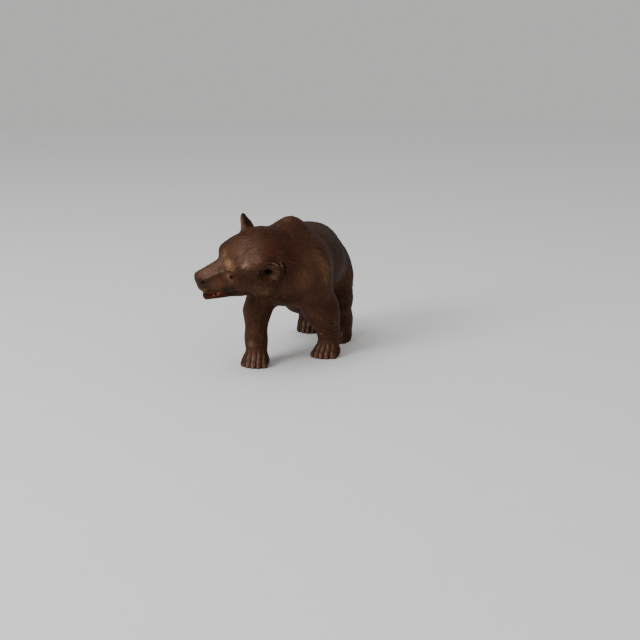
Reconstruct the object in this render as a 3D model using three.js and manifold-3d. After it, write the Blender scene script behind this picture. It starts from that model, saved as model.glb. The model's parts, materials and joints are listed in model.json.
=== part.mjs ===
// A small carved wooden bear that stands on all fours, in mid step, with its head turned to its right.
// Millimetres, +Z up. The bear faces -Y, its left side is +X, and its paws stand on z = 0.
// The figure is carved from one block. Every mass of the body is laid into one field of wood, the mouth,
// the ears, the eyes and the gaps between the toes are cut out of it, and its skin is the finished solid.

import * as THREE from "three";
import { MarchingCubes } from "three/addons/objects/MarchingCubes.js";
import { SimplifyModifier } from "three/addons/modifiers/SimplifyModifier.js";
import { mergeVertices } from "three/addons/utils/BufferGeometryUtils.js";
import Module from "manifold-3d";

const wasm = await Module();
wasm.setup();

// Driving sizes of the figure.
const shoulderHeight = 72; // ground to the top of the hump
const bodyLength = 88; // front of the chest to the rump
const bodyWidth = 34; // across the ribs
const headLength = 40; // nose to the back of the skull
const headWidth = 25; // across the skull
const headDepth = 30; // crown to throat
const earLength = 11.5;
const mouthGap = 4.3; // between the lips, at the front
const wheelbase = 52; // from the front paws to the hind paws, on average
const bodyLead = 6; // how far the middle of the trunk is ahead of the middle of the paws
const frontStance = 28; // between the middles of the front paws
const frontStride = 25.6; // how far the right front paw is ahead of the left one
const hindStance = 20.4; // between the middles of the hind paws
const hindStride = 18; // how far the left hind paw is ahead of the right one
const legThickness = 8.6; // at the wrist
const hockThickness = 12.6; // hind leg above the heel
const rightForearm = 12.6; // at the knee
const leftForearm = 16.6; // its inner side fills the armpit
const kneeLean = 1.5; // how far the front knees lean to the bear's right
const shank = 14.8; // hind leg at the knee
const pawWidth = 14.2;
const pawLength = 13.4;
const pawHeight = 8;
const clawRadius = 0.8;
const toesIn = 8; // degrees that each paw is turned inwards

// Pose of the head, in degrees, and the place of its middle.
const headTurn = 51; // to the bear's right
const headTilt = 33; // left ear down
const headNod = 9; // nose down
const headReach = 46.5; // ahead of the middle of the body
const headSide = 12.8; // to the bear's right
const headHeight = 52;
const rightEarLean = 22; // degrees outwards from upright
const leftEarTurn = 56; // its cup is turned outwards from straight ahead
const leftEarRise = 27; // and upwards

// The skin: its cells, and how many triangles stay.
const cell = 0.8;
const skinTriangles = 9400;

const stain = new THREE.MeshStandardMaterial({ color: 0x4a2c1b, roughness: 0.6, metalness: 0 });
const degrees = THREE.MathUtils.degToRad;
const lerp = THREE.MathUtils.lerp;
const vec = (x, y, z) => new THREE.Vector3(x, y, z);
const turned = (x, y, z) => new THREE.Euler(degrees(x), degrees(y), degrees(z));

// A place is a matrix. This one is a point of another place, with a turn of its own.
const spot = (place, point, turn = new THREE.Euler()) =>
  place.clone().multiply(new THREE.Matrix4().makeRotationFromEuler(turn).setPosition(point));

// A ball of wood, longer or flatter along the axes of its place. A squareness above 2 makes it boxy.
function ball(place, radii, squareness = 2) {
  const inverse = place.clone().invert();
  const { x: rx, y: ry, z: rz } = radii;
  const p = vec(0, 0, 0);
  const depth = (x, y, z) => {
    p.set(x, y, z).applyMatrix4(inverse);
    const k0 = Math.hypot(p.x / rx, p.y / ry, p.z / rz);
    const k1 = Math.hypot(p.x / (rx * rx), p.y / (ry * ry), p.z / (rz * rz));
    if (k1 < 1e-9) return Math.min(rx, ry, rz);
    const share = (v) => Math.pow(Math.abs(v), squareness);
    const sum = share(p.x / rx) + share(p.y / ry) + share(p.z / rz);
    const k = squareness === 2 ? k0 : Math.pow(sum, 1 / squareness);
    return (k0 * (1 - k)) / k1;
  };
  return { box: new THREE.Box3(radii.clone().negate(), radii.clone()).applyMatrix4(place), depth };
}

// A round limb from a to b that grows or thins from the radius ra to rb.
function limb(a, ra, b, rb) {
  const axis = b.clone().sub(a);
  const squared = axis.lengthSq();
  const depth = (x, y, z) => {
    const dx = x - a.x;
    const dy = y - a.y;
    const dz = z - a.z;
    const t = Math.min(1, Math.max(0, (dx * axis.x + dy * axis.y + dz * axis.z) / squared));
    return ra + t * (rb - ra) - Math.hypot(dx - t * axis.x, dy - t * axis.y, dz - t * axis.z);
  };
  const box = new THREE.Box3(a.clone().subScalar(ra), a.clone().addScalar(ra));
  box.union(new THREE.Box3(b.clone().subScalar(rb), b.clone().addScalar(rb)));
  return { box, depth };
}

// The carving is a list of masses that are added and cuts that are taken away, in their order.
// The blend is the width of the soft edge that joins each of them to the wood already there.
const steps = [];
const add = (shape, blend) => steps.push({ ...shape, blend, sign: 1 });
const cut = (shape, blend) => steps.push({ ...shape, blend, sign: -1 });

// Trunk, in half widths and half lengths of the body and shares of the shoulder's height.
const world = new THREE.Matrix4();
const body = vec(bodyWidth / 2, bodyLength / 2, shoulderHeight);
const inBody = (x, y, z) => vec(x, y, z).multiply(body);
const trunk = {
  ribs: { middle: [0, -0.21, 0.63], radii: [1.06, 0.54, 0.25], blend: 8 },
  chest: { middle: [0, -0.55, 0.632], radii: [0.84, 0.37, 0.228], blend: 8 },
  belly: { middle: [0.06, 0.2, 0.56], radii: [0.86, 0.54, 0.235], blend: 8 },
  rump: { middle: [0, 0.6, 0.554], radii: [0.68, 0.4, 0.219], blend: 8 },
  croup: { middle: [0, 0.46, 0.675], radii: [0.41, 0.42, 0.134], blend: 8 },
  back: { middle: [0, 0, 0.74], radii: [0.46, 0.62, 0.146], blend: 8 },
  withers: { middle: [0, -0.2, 0.72], radii: [0.76, 0.42, 0.14], blend: 8 },
  loin: { middle: [0.1, 0.14, 0.62], radii: [0.88, 0.46, 0.17], blend: 8 },
  hump: { middle: [0, -0.49, 0.84], radii: [0.4, 0.25, 0.146], blend: 8 },
  tail: { middle: [0, 0.99, 0.583], radii: [0.15, 0.06, 0.083], blend: 3 },
};

function carveTrunk() {
  for (const { middle, radii, blend } of Object.values(trunk))
    add(ball(spot(world, inBody(...middle)), inBody(...radii)), blend);
}

// A paw: a pad, and toes side by side at its front with a claw each and a cut between them.
// Its own frame has -Y forwards, and its numbers are half widths, lengths and heights of the paw.
function carvePaw(place, side, length) {
  const inPaw = (x, y, z) => vec((x * pawWidth) / 2, y * length, z * pawHeight).applyMatrix4(place);
  const pad = vec(0.46 * pawWidth, 0.45 * length, 0.55 * pawHeight);
  const toeRadius = 0.12 * pawWidth;
  const toeSpread = 0.37;
  add(ball(spot(place, vec(0, 0, 0.3 * pawHeight)), pad), 3);
  for (let i = -2; i <= 2; i++) {
    const across = toeSpread * i;
    const front = -0.46 + 0.04 * i * i + 0.03 * i * side;
    const knuckle = inPaw(0.8 * across, front + 0.25, 0.46);
    const nailRoot = inPaw(across, front - 0.06, 0.3);
    const nailTip = inPaw(1.04 * across, front - 0.12, 0.06);
    add(limb(knuckle, toeRadius, inPaw(across, front, 0.16), toeRadius), 1.2);
    add(limb(nailRoot, clawRadius, nailTip, clawRadius / 2), 0.5);
  }
  for (let i = -2; i < 2; i++) {
    const across = toeSpread * (i + 0.5);
    cut(limb(inPaw(0.85 * across, -0.3, 0.9), 0.2, inPaw(1.1 * across, -0.7, 0), 0.3), 1);
  }
}

// A leg from its root in the trunk, over the knee and the wrist, to its paw.
function carveLeg({ side, root, bulge, knee, kneeRadius, ankle, foot, length, heel }) {
  const wrist = foot.clone().add(vec(0, heel, pawHeight + 0.04 * shoulderHeight));
  const instep = foot.clone().add(vec(0, 0.4 * heel, 0.5 * pawHeight));
  add(ball(spot(world, root), bulge), 7);
  add(limb(root, 0.95 * bulge.x, knee, kneeRadius), 6);
  add(limb(knee, kneeRadius, wrist, ankle / 2), 4);
  add(limb(wrist, ankle / 2, instep, 0.55 * ankle), 4);
  carvePaw(spot(world, foot, turned(0, 0, -side * toesIn)), side, length);
}

// Where each hind knee is between its paw and the flank, and its share of the shoulder's height.
const leftStifle = { reach: 0.45, lift: 0.33 };
const rightStifle = { reach: 0.56, lift: 0.295 };

function carveLegs() {
  for (const side of [-1, 1]) {
    const ahead = -side / 2;
    const frontFoot = vec((side * frontStance) / 2, bodyLead - wheelbase / 2 - ahead * frontStride, 0);
    const hindFoot = vec((side * hindStance) / 2, bodyLead + wheelbase / 2 + ahead * hindStride, 0);
    const elbow = frontFoot.clone().lerp(inBody(side * 0.8, -0.46, 0), 0.5);
    const { reach, lift } = side > 0 ? leftStifle : rightStifle;
    const stifle = hindFoot.clone().lerp(inBody(side * 0.76, 0.3, 0), reach);
    carveLeg({
      side,
      root: inBody(side * 0.7, -0.54, 0.62),
      bulge: inBody(0.42, 0.25, 0.214),
      knee: elbow.add(vec(-kneeLean, 0, 0.36 * shoulderHeight)),
      kneeRadius: (side > 0 ? leftForearm : rightForearm) / 2,
      ankle: legThickness,
      foot: frontFoot,
      length: pawLength,
      heel: 2,
    });
    carveLeg({
      side,
      root: inBody(side * 0.54, 0.6, 0.457),
      bulge: inBody(0.41, 0.29, 0.194),
      knee: stifle.add(vec(0, 0, lift * shoulderHeight)),
      kneeRadius: shank / 2,
      ankle: hockThickness,
      foot: hindFoot,
      length: 1.2 * pawLength,
      heel: 3.5,
    });
  }
}

// Head. Its own frame has +X towards the nose, +Y to the bear's left and +Z to the crown.
const head = new THREE.Matrix4()
  .makeTranslation(-headSide, -headReach, headHeight)
  .multiply(new THREE.Matrix4().makeRotationZ(degrees(-90 - headTurn)))
  .multiply(new THREE.Matrix4().makeRotationY(degrees(headNod)))
  .multiply(new THREE.Matrix4().makeRotationX(degrees(-headTilt)));
const skull = vec(headLength, headWidth / 2, headDepth);
const ofHead = (x, y, z) => vec(x, y, z).multiply(skull);
const inHead = (x, y, z) => ofHead(x, y, z).applyMatrix4(head);
const headBall = (middle, radii, squareness, turn) =>
  ball(spot(head, ofHead(...middle), turn), ofHead(...radii), squareness);

function carveNeck() {
  add(limb(inBody(0, -0.5, 0.642), 0.4 * bodyWidth, inHead(-0.2, 0, -0.08), 0.42 * headWidth), 9);
  add(limb(inBody(0, -0.5, 0.8), 0.23 * bodyWidth, inHead(-0.2, -0.1, 0.24), 0.38 * headWidth), 8);
}

function carveSkull() {
  add(headBall([-0.08, 0, 0.07], [0.31, 0.94, 0.44]), 5);
  add(headBall([0.09, 0, 0.23], [0.21, 0.68, 0.31]), 4);
  add(headBall([0.0, 0, -0.34], [0.26, 0.58, 0.27]), 4);
  for (const side of [-1, 1]) {
    add(headBall([-0.14, side * 0.7, -0.2], [0.18, 0.45, 0.27]), 1.5);
    add(headBall([0.08, side * 0.48, -0.12], [0.18, 0.38, 0.2]), 3);
    add(headBall([0.22, side * 0.3, 0.26], [0.07, 0.24, 0.1]), 3);
  }
}

// Muzzle: boxy slices from the cheeks to the nose, under a straight bridge, then the open jaw.
function carveMuzzle() {
  const slices = 7;
  const boxy = 2.8;
  const open = mouthGap / 2 / headDepth;
  for (let i = 0; i < slices; i++) {
    const t = i / (slices - 1);
    const bridge = lerp(0.17, 0.03, t);
    const cheek = lerp(-0.02, -0.06, t);
    const lip = lerp(-0.3, -0.29, t);
    const along = lerp(0.2, 0.51, t);
    const blend = lerp(3, 1, t);
    const wide = lerp(0.52, 0.3, Math.pow(t, 0.8));
    add(headBall([along, 0, (cheek + lip) / 2], [0.09, wide, (cheek - lip) / 2 + 0.02], boxy), blend);
    add(headBall([along, 0, bridge / 2 - 0.09], [0.09, 0.24, bridge / 2 + 0.09], 4), blend);
  }
  add(headBall([0.57, 0, -0.06], [0.05, 0.25, 0.09]), 1);
  const jawRoot = inHead(0.1, 0, -0.42);
  const jawTip = inHead(0.472, 0, -0.412 - open);
  add(limb(jawRoot, 0.17 * headDepth, jawTip, 0.08 * headDepth), 2);
  cut(headBall([0.53, 0, -0.37], [0.2, 0.7, open]), 0.6);
  const tongueRoot = inHead(0.3, 0, -0.41);
  const tongueTip = inHead(0.45, 0, -0.45);
  add(limb(tongueRoot, 0.04 * headDepth, tongueTip, 0.035 * headDepth), 1);
}

function carveEyes() {
  for (const side of [-1, 1]) {
    cut(headBall([0.25, side * 0.58, 0.04], [0.05, 0.09, 0.045]), 1.2);
    add(headBall([0.245, side * 0.5, 0.035], [0.025, 0.08, 0.035]), 0.4);
  }
}

// The right ear stands up to a point. The left one is laid back, a round cup that opens to the front.
function carveEars() {
  const upright = spot(head, ofHead(-0.12, -0.8, 0.28), turned(rightEarLean, 10, -50));
  const laid = spot(head, ofHead(-0.17, 0.91, 0.08), turned(0, -leftEarRise, leftEarTurn));
  const leaf = (place, x, z, rx, ry, rz) =>
    ball(spot(place, vec(x, 0, z).multiplyScalar(earLength)), vec(rx, ry, rz).multiplyScalar(earLength));
  add(leaf(upright, 0, 0.22, 0.17, 0.42, 0.42), 2);
  add(leaf(upright, 0.02, 0.5, 0.12, 0.25, 0.48), 1.5);
  cut(leaf(upright, 0.2, 0.36, 0.17, 0.24, 0.36), 0.8);
  add(leaf(laid, 0, 0, 0.2, 0.46, 0.5), 1);
  cut(leaf(laid, 0.25, -0.02, 0.23, 0.36, 0.4), 0.8);
}

// The skin of the wood: a fine one first, then only the triangles that its form needs.
async function skin() {
  const bounds = new THREE.Box3();
  for (const step of steps) if (step.sign > 0) bounds.union(step.box);
  bounds.expandByScalar(4 * cell);
  const span = bounds.getSize(vec(0, 0, 0));
  const count = Math.ceil(Math.max(span.x, span.y, span.z) / cell) + 2;
  const mostTriangles = 400000;
  const wood = new MarchingCubes(count, stain, false, false, mostTriangles);
  wood.isolation = 0;
  wood.field.fill(-1000);
  const index = (v) => Math.min(count - 1, Math.max(0, Math.round(v / cell)));
  for (const { box, depth, blend, sign } of steps) {
    const low = box.min.clone().subScalar(blend + cell).sub(bounds.min).toArray().map(index);
    const high = box.max.clone().addScalar(blend + cell).sub(bounds.min).toArray().map(index);
    for (let k = low[2]; k <= high[2]; k++)
      for (let j = low[1]; j <= high[1]; j++)
        for (let i = low[0]; i <= high[0]; i++) {
          const n = i + count * (j + count * k);
          const there = sign * wood.field[n];
          const here = depth(bounds.min.x + i * cell, bounds.min.y + j * cell, bounds.min.z + k * cell);
          const overlap = Math.max(0, 1 - Math.abs(there - here) / blend);
          wood.field[n] = sign * (Math.max(there, here) + (overlap * overlap * blend) / 4);
        }
  }
  wood.update();
  const corners = wood.geometry.drawRange.count;
  const half = (count * cell) / 2;
  const fine = new THREE.BufferGeometry()
    .setAttribute("position", new THREE.BufferAttribute(wood.positionArray.slice(0, corners * 3), 3))
    .scale(half, half, half)
    .translate(half + bounds.min.x, half + bounds.min.y, half + bounds.min.z);
  const closed = mergeVertices(fine, 1e-3);
  const spare = closed.attributes.position.count - Math.round(skinTriangles / 2);
  return new SimplifyModifier().modify(closed, spare);
}

function solidOf(geometry) {
  return new wasm.Manifold(
    new wasm.Mesh({
      numProp: 3,
      vertProperties: geometry.attributes.position.array,
      triVerts: new Uint32Array(geometry.index.array),
    }),
  );
}

function geometryOf(solid) {
  const mesh = solid.getMesh();
  return new THREE.BufferGeometry()
    .setAttribute("position", new THREE.BufferAttribute(mesh.vertProperties, 3))
    .setIndex(new THREE.BufferAttribute(mesh.triVerts, 1));
}

// The soles are sawn flat: everything below the ground is taken off.
function sawSoles(solid) {
  const ground = new THREE.BoxGeometry(4 * bodyLength, 4 * bodyLength, 2 * pawHeight);
  ground.translate(0, 0, -pawHeight);
  ground.deleteAttribute("normal");
  ground.deleteAttribute("uv");
  return solid.subtract(solidOf(mergeVertices(ground)));
}

carveTrunk();
carveLegs();
carveNeck();
carveSkull();
carveMuzzle();
carveEyes();
carveEars();

// Small air pockets that the skin can close off between two toes are filled: only the outer shell stays.
const shells = sawSoles(solidOf(await skin())).decompose();
const outer = shells.reduce((a, b) => (a.volume() > b.volume() ? a : b));
const bear = new THREE.Mesh(geometryOf(outer), stain);
bear.name = "bear_carving";

// The origin is on the ground, under the middle of the figure's box.
const middle = new THREE.Box3().setFromObject(bear).getCenter(vec(0, 0, 0));
bear.position.set(-middle.x, -middle.y, 0);

const figure = new THREE.Group();
figure.add(bear);
export default figure;
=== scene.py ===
"""The look of a small carved wooden bear: its combed coat, face, ears, paws, stain and paint.

The bear's solid gives every place. Sizes are in millimetres, in the solid's own frame: +Z up, the bear walks
towards -Y, its left side is +X, and its soles stand on z = 0. Meshes are in metres.
"""

import json
import logging
import math
from dataclasses import dataclass, field
from enum import Enum
from typing import Sequence

import bmesh
import bpy
import numpy as np
from mathutils import Matrix, Vector


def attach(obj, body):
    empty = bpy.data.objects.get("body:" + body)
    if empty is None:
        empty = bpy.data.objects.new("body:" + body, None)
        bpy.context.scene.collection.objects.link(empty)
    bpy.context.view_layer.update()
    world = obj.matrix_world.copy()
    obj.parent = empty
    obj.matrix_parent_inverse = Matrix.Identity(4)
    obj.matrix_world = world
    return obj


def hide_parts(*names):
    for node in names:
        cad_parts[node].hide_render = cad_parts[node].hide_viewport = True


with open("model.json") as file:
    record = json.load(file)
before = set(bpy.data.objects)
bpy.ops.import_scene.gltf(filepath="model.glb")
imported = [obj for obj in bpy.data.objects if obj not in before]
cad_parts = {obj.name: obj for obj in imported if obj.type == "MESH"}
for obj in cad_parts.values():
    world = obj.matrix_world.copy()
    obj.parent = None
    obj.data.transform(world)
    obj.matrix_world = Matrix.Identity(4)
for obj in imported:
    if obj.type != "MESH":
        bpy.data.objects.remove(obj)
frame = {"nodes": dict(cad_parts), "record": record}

MM = 0.001
SOLID = "bear_carving"
BODY = "root"
# cubes along each side of the grid that sorts the gouge strokes
CUBES = 256
# a stroke's length as a share of its layer's
SHORTEST, LONGEST = 0.7, 1.15

Triple = tuple[float, float, float]
Path = tuple[Triple, ...]
# rows of a middle, a way and a reach
Lie = tuple[tuple[Triple, Triple, float], ...]

log = logging.getLogger("bear")


class Side(Enum):
    """The bear's own sides, with the sign of their x."""

    RIGHT = -1
    LEFT = 1


class Mark(Enum):
    """What the carver marked on the wood, with where shade and highlights are painted: point attributes that
    the finish reads.
    """

    ACROSS = "across"
    ALONG = "along"
    CUT = "cut"
    RAISED = "raised"
    MOUTH = "mouth"
    NOSE = "nose"
    EYE = "eye"
    CLAW = "claw"
    TOOTH = "tooth"
    RIM_WEAR_AND_HIGHLIGHT = "rim"


def on_side(point: Sequence[float], side: Side) -> Triple:
    """A point or a direction of the head's left half, on either side."""
    return (point[0], side.value * point[1], point[2])


def smooth_step(low: float, high: float, values: np.ndarray) -> np.ndarray:
    """Rises softly from 0 at low to 1 at high, or falls where low is above high."""
    t = np.clip((values - low) / (high - low), 0.0, 1.0)
    return t * t * (3.0 - 2.0 * t)


def unit(vectors: np.ndarray) -> np.ndarray:
    """The same directions with length 1."""
    return vectors / np.maximum(np.linalg.norm(vectors, axis=-1, keepdims=True), 1e-9)


def bell(away: np.ndarray, width: float) -> np.ndarray:
    """1 at no distance, and a soft fall to 0 beyond the width."""
    return np.exp(-((away / width) ** 2))


def from_path(points: np.ndarray, path: Sequence[Sequence[float]]) -> np.ndarray:
    """How far each point is from a line through the path's points."""
    nearest = np.full(len(points), np.inf)
    for start, end in zip(path[:-1], path[1:]):
        a, b = np.array(start, float), np.array(end, float)
        t = np.clip((points - a) @ (b - a) / ((b - a) @ (b - a)), 0.0, 1.0)
        nearest = np.minimum(nearest, np.linalg.norm(points - a - t[:, None] * (b - a), axis=1))
    return nearest


@dataclass(frozen=True)
class Place:
    """A place of its own on the bear: its middle, and its axes as the columns of a matrix."""

    middle: Triple
    axes: tuple[Triple, ...]

    @classmethod
    def turned(cls, middle: Sequence[float], turn: Matrix) -> "Place":
        """A place at a middle, with the axes of a 3 by 3 rotation."""
        return cls(tuple(middle), tuple(tuple(row) for row in turn))

    def matrix(self) -> Matrix:
        """The place as a matrix, in millimetres."""
        return Matrix.Translation(self.middle) @ Matrix(self.axes).to_4x4()

    def point(self, local: Sequence[float]) -> np.ndarray:
        """A local point in the bear's frame."""
        return np.array(self.axes) @ np.array(local, float) + np.array(self.middle)

    def direction(self, local: Sequence[float]) -> np.ndarray:
        """A local direction in the bear's frame."""
        return np.array(self.axes) @ np.array(local, float)

    def local(self, points: np.ndarray) -> np.ndarray:
        """Points of the bear's frame in local measure."""
        return (points - np.array(self.middle)) @ np.array(self.axes)


@dataclass(frozen=True)
class Pose:
    """Where the head and the paws are: the head's numbers were read off the solid's box, and the paws are
    read from its mounts.
    """

    head_turn: float = 51.0
    head_tilt: float = 33.0
    head_nod: float = 9.0
    head_ahead: float = 41.11
    head_aside: float = 6.62
    head_height: float = 52.0
    toes_in: float = 8.0
    sole_ahead: float = 1.1

    def head(self) -> Place:
        """The head's place: +X towards the nose, +Y to the bear's left, +Z to the crown."""
        turn = (
            Matrix.Rotation(math.radians(-90.0 - self.head_turn), 3, "Z")
            @ Matrix.Rotation(math.radians(self.head_nod), 3, "Y")
            @ Matrix.Rotation(math.radians(-self.head_tilt), 3, "X")
        )
        return Place.turned((-self.head_aside, -self.head_ahead, self.head_height), turn)

    def paw(self, mount: dict) -> Place:
        """A paw's place over its sole: -Y towards the toes.

        Args:
            mount: The record's entry for the sole.

        Returns:
            The place of the paw's middle, on the ground.
        """
        side = Side.LEFT if "left" in mount["name"] else Side.RIGHT
        turn = Matrix.Rotation(math.radians(-side.value * self.toes_in), 3, "Z")
        middle = Vector(mount["pos_m"]) / MM + turn @ Vector((0.0, self.sole_ahead, 0.0))
        return Place.turned(middle, turn)


class Block:
    """A mesh that is carved point by point: its points in millimetres, its normals and its neighbours."""

    def __init__(self, mesh: bpy.types.Mesh) -> None:
        """Reads a mesh of quads in metres."""
        self.mesh = mesh
        self.count = len(mesh.vertices)
        flat = np.empty(self.count * 3)
        mesh.vertices.foreach_get("co", flat)
        self.points = flat.reshape(-1, 3) / MM
        ends = np.empty(len(mesh.edges) * 2, np.int32)
        mesh.edges.foreach_get("vertices", ends)
        self.ends = ends.reshape(-1, 2).T
        corners = np.empty(len(mesh.loops), np.int32)
        mesh.loops.foreach_get("vertex_index", corners)
        self.quads = corners.reshape(-1, 4)
        self.valence = np.bincount(self.ends.ravel(), minlength=self.count)[:, None]
        self.marks: dict[Mark, np.ndarray] = {}

    def normals(self) -> np.ndarray:
        """The outward direction at each point."""
        a, b, c, d = (self.points[self.quads[:, i]] for i in range(4))
        faces = np.cross(c - a, d - b)
        total = np.empty_like(self.points)
        for axis in range(3):
            weights = np.repeat(faces[:, axis], 4)
            total[:, axis] = np.bincount(self.quads.ravel(), weights, self.count)
        return unit(total)

    def averaged(self, values: np.ndarray) -> np.ndarray:
        """Half of each point's value, and half of the mean of its neighbours'."""
        a, b = self.ends
        total = np.empty_like(values)
        for axis in range(values.shape[1]):
            column = values[:, axis]
            total[:, axis] = np.bincount(a, column[b], self.count) + np.bincount(b, column[a], self.count)
        return 0.5 * values + 0.5 * total / self.valence

    def blurred(self, values: np.ndarray, rounds: int) -> np.ndarray:
        """Values averaged over and over."""
        for _ in range(rounds):
            values = self.averaged(values)
        return values

    def softened(self, rounds: int) -> np.ndarray:
        """The points without their facets, with what the averaging shrinks given back."""
        soft = self.blurred(self.points, rounds)
        return soft + self.blurred(self.points - soft, rounds)

    def push(self, amount: np.ndarray, way: np.ndarray | None = None) -> None:
        """Moves each point outwards, or along a way of its own, by an amount in millimetres."""
        self.points = self.points + amount[:, None] * (self.normals() if way is None else way)

    def mark(self, kind: Mark, values: np.ndarray) -> None:
        """Adds a mark, keeping the stronger where it is already there."""
        if kind in self.marks and values.ndim == 1:
            values = np.maximum(self.marks[kind], values)
        self.marks[kind] = values

    def score(self, local: np.ndarray, path: Sequence[Sequence[float]], width: float, depth: float) -> None:
        """Cuts a dark line along a path, given in the same measure as the local points."""
        line = bell(from_path(local, path), width)
        self.push(-depth * line)
        self.mark(Mark.CUT, line)

    def write(self) -> None:
        """Puts the points and the marks back on the mesh."""
        self.mesh.vertices.foreach_set("co", (self.points * MM).astype(np.float32).ravel())
        for kind, values in self.marks.items():
            form = "FLOAT_VECTOR" if values.ndim == 2 else "FLOAT"
            layer = self.mesh.attributes.new(kind.value, form, "POINT")
            key = "vector" if values.ndim == 2 else "value"
            layer.data.foreach_set(key, values.astype(np.float32).ravel())
        self.mesh.update()


def limb(mesh: bmesh.types.BMesh, a: Sequence[float], ra: float, b: Sequence[float], rb: float) -> None:
    """Adds a tapered limb with round ends, from a to b, in millimetres of the bear's frame."""
    start, end = Vector(a), Vector(b)
    axis = end - start
    turn = axis.to_track_quat("Z", "Y").to_matrix().to_4x4()
    matrix = Matrix.Scale(MM, 4) @ Matrix.Translation((start + end) / 2.0) @ turn
    bmesh.ops.create_cone(
        mesh, cap_ends=True, segments=16, radius1=ra, radius2=rb, depth=axis.length, matrix=matrix
    )
    for middle, radius in ((start, ra), (end, rb)):
        place = Matrix.Scale(MM, 4) @ Matrix.Translation(middle)
        bmesh.ops.create_uvsphere(mesh, u_segments=16, v_segments=8, radius=radius, matrix=place)


@dataclass
class Paws:
    """The four paws: short toes side by side, a small claw each, and creases round the wrists.

    The knuckle, the gaps' tips and the claws are placed by shares: of the toe's distance from the paw's
    middle line, of the paw's length behind the toe's tip, and of the paw's height.
    """

    places: dict[str, Place]
    width: float = 14.2
    front_length: float = 13.4
    hind_length: float = 16.1
    height: float = 8.0
    toes: tuple[int, ...] = (-2, -1, 0, 1, 2)
    gaps: tuple[float, ...] = (-1.5, -0.5, 0.5, 1.5)
    toe_spread: float = 0.37
    toe_radius: float = 1.7
    knuckle: Triple = (0.82, 0.25, 0.48)
    gap_tip: Triple = (1.0, 0.005, 0.2)
    claw_root: Triple = (1.02, -0.08, 0.2)
    claw_middle: Triple = (1.02, -0.1, 0.13)
    claw_tip: Triple = (1.04, -0.12, 0.06)
    claw_reach: Triple = (0.65, 0.9, 1.1)
    claw_radius: float = 0.5
    web_share: tuple[float, float] = (0.95, 0.97)
    claw_taper: float = 0.5
    groove_depth: float = 0.3
    groove_width: float = 0.32
    groove_top: float = 8.6
    crown_aside: float = 0.9
    crown_width: float = 0.3
    crown_rise: float = 0.1
    wrist_height: float = 8.4
    crease_heights: tuple[float, ...] = (11.4, 13.3, 14.6, 17.2, 19.4)
    crease_width: float = 0.38
    crease_depth: float = 0.28

    def length(self, name: str) -> float:
        """How long a paw is."""
        return self.front_length if "front" in name else self.hind_length

    def arc(self, name: str, i: float) -> float:
        """How far behind the paw's middle a toe's tip is, as a share of the length."""
        side = Side.LEFT if name.endswith("left") else Side.RIGHT
        return -0.46 + 0.04 * i * i + 0.03 * i * side.value

    def spot(self, name: str, i: float, shares: Sequence[float]) -> Triple:
        """A local point on a toe, or in the gap beside it where i is a half."""
        aside, behind, up = shares
        side = aside * self.toe_spread * i * self.width / 2.0
        return (side, (self.arc(name, i) + behind) * self.length(name), up * self.height)

    def add_clay(self, mesh: bmesh.types.BMesh) -> None:
        """Adds the claws, and fills the gaps between the toes up to shallow grooves."""
        for name, place in self.places.items():
            for i in self.gaps:
                start, end = (place.point(self.spot(name, i, at)) for at in (self.knuckle, self.gap_tip))
                back, front = (share * self.toe_radius for share in self.web_share)
                limb(mesh, start, back, end, front)
            for i in self.toes:
                start, end = (place.point(self.spot(name, i, at)) for at in (self.claw_root, self.claw_tip))
                limb(mesh, start, self.claw_radius, end, self.claw_taper * self.claw_radius)

    def grooves(self, name: str, local: np.ndarray) -> tuple[np.ndarray, np.ndarray]:
        """How far each point is into a groove between two toes, and up on the crown beside it."""
        x, y, z = local.T
        half = self.width / 2.0
        along = -y / self.length(name)
        ahead = smooth_step(-0.02, 0.25, along) * smooth_step(self.groove_top, 0.5 * self.groove_top, z)
        ahead *= smooth_step(0.2, 0.8, z)
        spread = x / half / np.interp(along, (0.1, 0.45), (0.86, 1.02))
        aside = [(spread - self.toe_spread * i) * half for i in self.gaps]
        groove = np.max([bell(away, self.groove_width) for away in aside], axis=0)
        crown = np.max([bell(away - self.crown_aside, self.crown_width) for away in aside], axis=0)
        return groove * ahead, crown * ahead * (0.6 + 0.4 * np.sin(3.0 * y + x))

    def creases(self, name: str, local: np.ndarray) -> np.ndarray:
        """How far each point is into a crease at the wrist: they are deepest on the left foreleg."""
        x, y, z = local.T
        crease = 0.6 * bell(z - self.wrist_height - 0.08 * x + 0.2 * y, 0.55)
        folds = 1.0 if name.endswith("front_left") else 0.4
        for i, level in enumerate(self.crease_heights):
            bow = z - level - 0.14 * x + 0.04 * (x - 1.5 + i % 3) ** 2
            part = smooth_step(-6.5, -1.0, x + 1.6 * (i % 2)) * (0.55 + 0.45 * np.sin(0.9 * x + 2.0 * i))
            crease = np.maximum(crease, folds * bell(bow, self.crease_width) * part)
        return crease * smooth_step(-0.35, 0.1, -y / self.length(name))

    def claws(self, name: str, local: np.ndarray) -> np.ndarray:
        """1 on the claws, and 0 beside them."""
        middles = [np.array(self.spot(name, i, self.claw_middle)) for i in self.toes]
        away = [np.linalg.norm((local - middle) / self.claw_reach, axis=1) for middle in middles]
        return smooth_step(1.15, 0.7, np.min(away, axis=0))

    def carve(self, block: Block) -> None:
        """Cuts the grooves between the toes and the creases at the wrists, and marks the claws."""
        for name, place in self.places.items():
            local = place.local(block.points)
            near = np.abs(local[:, 0]) < self.width / 2.0 + 2.0
            near &= np.abs(local[:, 1]) < 0.85 * self.length(name)
            near &= local[:, 2] < self.crease_heights[-1] + 3.0
            groove, crown, crease = np.zeros((3, block.count))
            groove[near], crown[near] = self.grooves(name, local[near])
            crease[near] = self.creases(name, local[near])
            block.push(self.crown_rise * crown - self.groove_depth * groove - self.crease_depth * crease)
            # painted shade in the toe grooves and the wrist creases
            block.mark(Mark.CUT, 0.65 * groove + 0.5 * crease)
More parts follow.
